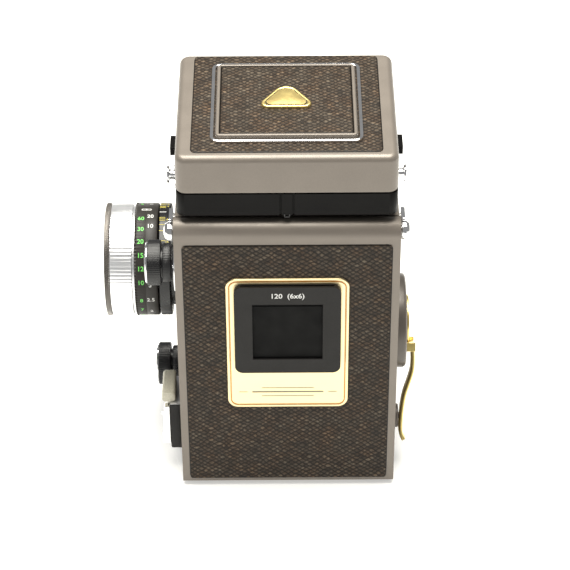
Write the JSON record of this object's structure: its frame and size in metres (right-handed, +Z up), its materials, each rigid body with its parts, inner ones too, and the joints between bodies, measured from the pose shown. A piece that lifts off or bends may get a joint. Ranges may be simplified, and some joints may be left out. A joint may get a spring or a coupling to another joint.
{
  "type": "twin lens reflex camera",
  "caption": "Roll film camera with a viewing lens above a taking lens on one focusing board, a waist level hood, a winding crank and a hinged back.",
  "frame": {"origin": "mouth of the tripod socket, in the plane the feet stand on", "axes": "+Z up through the hood; the lenses look along -Y; the focus knob is on +X and the crank on -X"},
  "size_m": [0.1142, 0.1111, 0.1501],
  "materials": {
    "taupe_enamel": "satin metallic enamel",
    "black_enamel": "satin black enamel",
    "leather": "embossed dark brown leather",
    "chrome": "polished chrome",
    "satin_chrome": "satin chrome",
    "dark_rim": "knurled dark metal",
    "black_plastic": "fine matte plastic",
    "beige_plastic": "smooth plastic",
    "taupe_disc": "satin enamel",
    "cream_gold": "pale gold plate",
    "gold": "polished gold plate",
    "gear_brass": "machined brass",
    "dial_white": "white enamel",
    "mirror": "front silvered glass",
    "glass": "coated glass"
  },
  "bodies": {
    "body": {"body_casting": "taupe_enamel", "film_gate": "black_enamel", "mirror_box": "black_enamel", "reflex_mirror": "mirror", "side_leather": "leather", "strap_lugs": "chrome", "hinge_pins": "chrome", "depth_ring": "black_enamel", "spool_escutcheons": "chrome", "shoe_base": "black_plastic", "shoe_cover": "beige_plastic", "shoe_rails": "chrome", "crank_base": "taupe_disc", "counter_window": "glass", "hood_base": "black_enamel", "focusing_screen": "glass"},
    "door": {"rear_door": "taupe_enamel", "rear_leather": "leather", "badge_plate": "cream_gold", "film_memo_holder": "black_plastic", "pressure_spring": "satin_chrome", "tripod_plate": "satin_chrome", "feet": "black_plastic"},
    "pressure_plate": {"pressure_plate": "black_enamel"},
    "latch_lever": {"latch_lever": "satin_chrome"},
    "lens_board": {"lens_board": "taupe_enamel", "focus_struts": "satin_chrome", "shutter_housing": "black_enamel", "lens_barrels": "black_enamel", "lens_glasses": "glass", "sync_socket": "chrome"},
    "aperture_wheel": {"aperture_wheel": "satin_chrome"},
    "speed_wheel": {"speed_wheel": "satin_chrome"},
    "release_button": {"release_button": "chrome"},
    "release_lock": {"release_lock": "satin_chrome"},
    "focus_knob": {"focus_shaft": "gear_brass", "focus_scale_ring": "black_enamel", "focus_knob": "chrome"},
    "film_speed_dial": {"film_speed_dial": "dark_rim"},
    "upper_spool_knob": {"upper_spool_knob": "black_plastic"},
    "lower_spool_knob": {"lower_spool_knob": "black_plastic"},
    "take_up": {"take_up_spool": "black_plastic", "spool_gear": "gear_brass"},
    "idler_gear": {"idler_gear": "gear_brass"},
    "crank": {"crank_hub": "gold"},
    "crank_arm": {"crank_arm": "gold"},
    "crank_handle": {"crank_handle": "dark_rim"},
    "counter_dial": {"counter_dial": "dial_white"},
    "upper_roller": {"upper_roller": "satin_chrome"},
    "lower_roller": {"lower_roller": "satin_chrome"},
    "hood_lid": {"hood_lid": "taupe_enamel", "lid_leather": "leather", "finder_frame": "chrome", "lid_emblem": "gold"},
    "magnifier": {"magnifier": "black_plastic"},
    "hood_rear_panel": {"hood_rear_panel": "black_enamel"},
    "hood_left_panel": {"hood_left_panel": "black_enamel"},
    "hood_right_panel": {"hood_right_panel": "black_enamel"},
    "left_hood_latch": {"left_hood_latch": "black_enamel"},
    "right_hood_latch": {"right_hood_latch": "black_enamel"}
  },
  "joints": [
    {"name": "door_open", "type": "hinge", "parent": "body", "child": "door", "pos_m": [0, 0.031, 0.115], "axis": [1, 0, 0], "range_deg": [0, 110]},
    {"name": "pressure_plate_press", "type": "slide", "parent": "door", "child": "pressure_plate", "axis": [0, 1, 0], "range_m": [0, 0.0008], "stiffness_N_per_m": 60},
    {"name": "latch_turn", "type": "hinge", "parent": "door", "child": "latch_lever", "pos_m": [0, 0, 0.001], "axis": [0, 0, 1], "range_deg": [0, 60]},
    {"name": "lens_board_slide", "type": "slide", "parent": "body", "child": "lens_board", "axis": [0, -1, 0], "range_m": [0, 0.007]},
    {"name": "aperture_turn", "type": "hinge", "parent": "lens_board", "child": "aperture_wheel", "pos_m": [0.0254, -0.043, 0.0715], "axis": [0, -1, 0], "range_deg": [0, 150]},
    {"name": "speed_turn", "type": "hinge", "parent": "lens_board", "child": "speed_wheel", "pos_m": [-0.0254, -0.043, 0.0715], "axis": [0, -1, 0], "range_deg": [0, 150]},
    {"name": "release_press", "type": "slide", "parent": "lens_board", "child": "release_button", "axis": [0, 1, 0], "range_m": [0, 0.002], "stiffness_N_per_m": 40},
    {"name": "release_lock_turn", "type": "hinge", "parent": "lens_board", "child": "release_lock", "pos_m": [-0.025, -0.042, 0.022], "axis": [0, -1, 0], "range_deg": [0, 60]},
    {"name": "focus_turn", "type": "hinge", "parent": "body", "child": "focus_knob", "pos_m": [0.05, -0.005, 0.0757], "axis": [-1, 0, 0], "range_deg": [0, 300]},
    {"name": "film_speed_turn", "type": "hinge", "parent": "focus_knob", "child": "film_speed_dial", "pos_m": [0.065, -0.005, 0.0757], "axis": [1, 0, 0], "range_deg": [-170, 170]},
    {"name": "upper_knob_pull", "type": "slide", "parent": "body", "child": "upper_spool_knob", "axis": [1, 0, 0], "range_m": [0, 0.005], "stiffness_N_per_m": 150},
    {"name": "lower_knob_pull", "type": "slide", "parent": "body", "child": "lower_spool_knob", "axis": [1, 0, 0], "range_m": [0, 0.005], "stiffness_N_per_m": 150},
    {"name": "crank_turn", "type": "hinge", "parent": "body", "child": "crank", "pos_m": [-0.042, 0, 0.05], "axis": [1, 0, 0], "continuous": true},
    {"name": "crank_fold", "type": "hinge", "parent": "crank", "child": "crank_arm", "pos_m": [-0.0468, 0.00464, 0.04171], "axis": [0, 0.8729, 0.4879], "range_deg": [0, 180]},
    {"name": "crank_handle_spin", "type": "hinge", "parent": "crank_arm", "child": "crank_handle", "pos_m": [-0.0409, 0.01781, 0.01814], "axis": [1, 0, 0], "continuous": true},
    {"name": "take_up_turn", "type": "hinge", "parent": "body", "child": "take_up", "pos_m": [0, 0.02, 0.093], "axis": [1, 0, 0], "continuous": true},
    {"name": "idler_turn", "type": "hinge", "parent": "body", "child": "idler_gear", "pos_m": [-0.0348, 0.00974, 0.07411], "axis": [1, 0, 0], "continuous": true},
    {"name": "counter_turn", "type": "hinge", "parent": "body", "child": "counter_dial", "pos_m": [-0.035, -0.012, 0.098], "axis": [1, 0, 0], "continuous": true},
    {"name": "upper_roller_turn", "type": "hinge", "parent": "body", "child": "upper_roller", "pos_m": [0, 0.0282, 0.0803], "axis": [1, 0, 0], "continuous": true},
    {"name": "lower_roller_turn", "type": "hinge", "parent": "body", "child": "lower_roller", "pos_m": [0, 0.0282, 0.0157], "axis": [1, 0, 0], "continuous": true},
    {"name": "lid_open", "type": "hinge", "parent": "body", "child": "hood_lid", "pos_m": [0, -0.0312, 0.1344], "axis": [1, 0, 0], "range_deg": [0, 90]},
    {"name": "magnifier_fold", "type": "hinge", "parent": "hood_lid", "child": "magnifier", "pos_m": [0, 0.0068, 0.143], "axis": [1, 0, 0], "range_deg": [-90, 0]},
    {"name": "hood_rear_fold", "type": "hinge", "parent": "body", "child": "hood_rear_panel", "pos_m": [0, 0.0294, 0.1336], "axis": [1, 0, 0], "range_deg": [-90, 0]},
    {"name": "hood_left_fold", "type": "hinge", "parent": "body", "child": "hood_left_panel", "pos_m": [0.0346, 0, 0.1336], "axis": [0, 1, 0], "range_deg": [0, 90]},
    {"name": "hood_right_fold", "type": "hinge", "parent": "body", "child": "hood_right_panel", "pos_m": [-0.0346, 0, 0.1336], "axis": [0, 1, 0], "range_deg": [-90, 0]},
    {"name": "left_latch_press", "type": "slide", "parent": "body", "child": "left_hood_latch", "axis": [-1, 0, 0], "range_m": [0, 0.001], "stiffness_N_per_m": 200},
    {"name": "right_latch_press", "type": "slide", "parent": "body", "child": "right_hood_latch", "axis": [1, 0, 0], "range_m": [0, 0.001], "stiffness_N_per_m": 200}
  ],
  "couplings": [
    {"joint": "lens_board_slide", "follows": "focus_turn", "m_per_rad": 0.0013369},
    {"joint": "take_up_turn", "follows": "crank_turn", "ratio": 1.4737},
    {"joint": "idler_turn", "follows": "crank_turn", "ratio": -1.1667},
    {"joint": "counter_turn", "follows": "crank_turn", "ratio": -0.076923},
    {"joint": "magnifier_fold", "follows": "lid_open", "ratio": -1},
    {"joint": "hood_rear_fold", "follows": "lid_open", "ratio": -1},
    {"joint": "hood_left_fold", "follows": "lid_open", "ratio": 1},
    {"joint": "hood_right_fold", "follows": "lid_open", "ratio": -1}
  ]
}
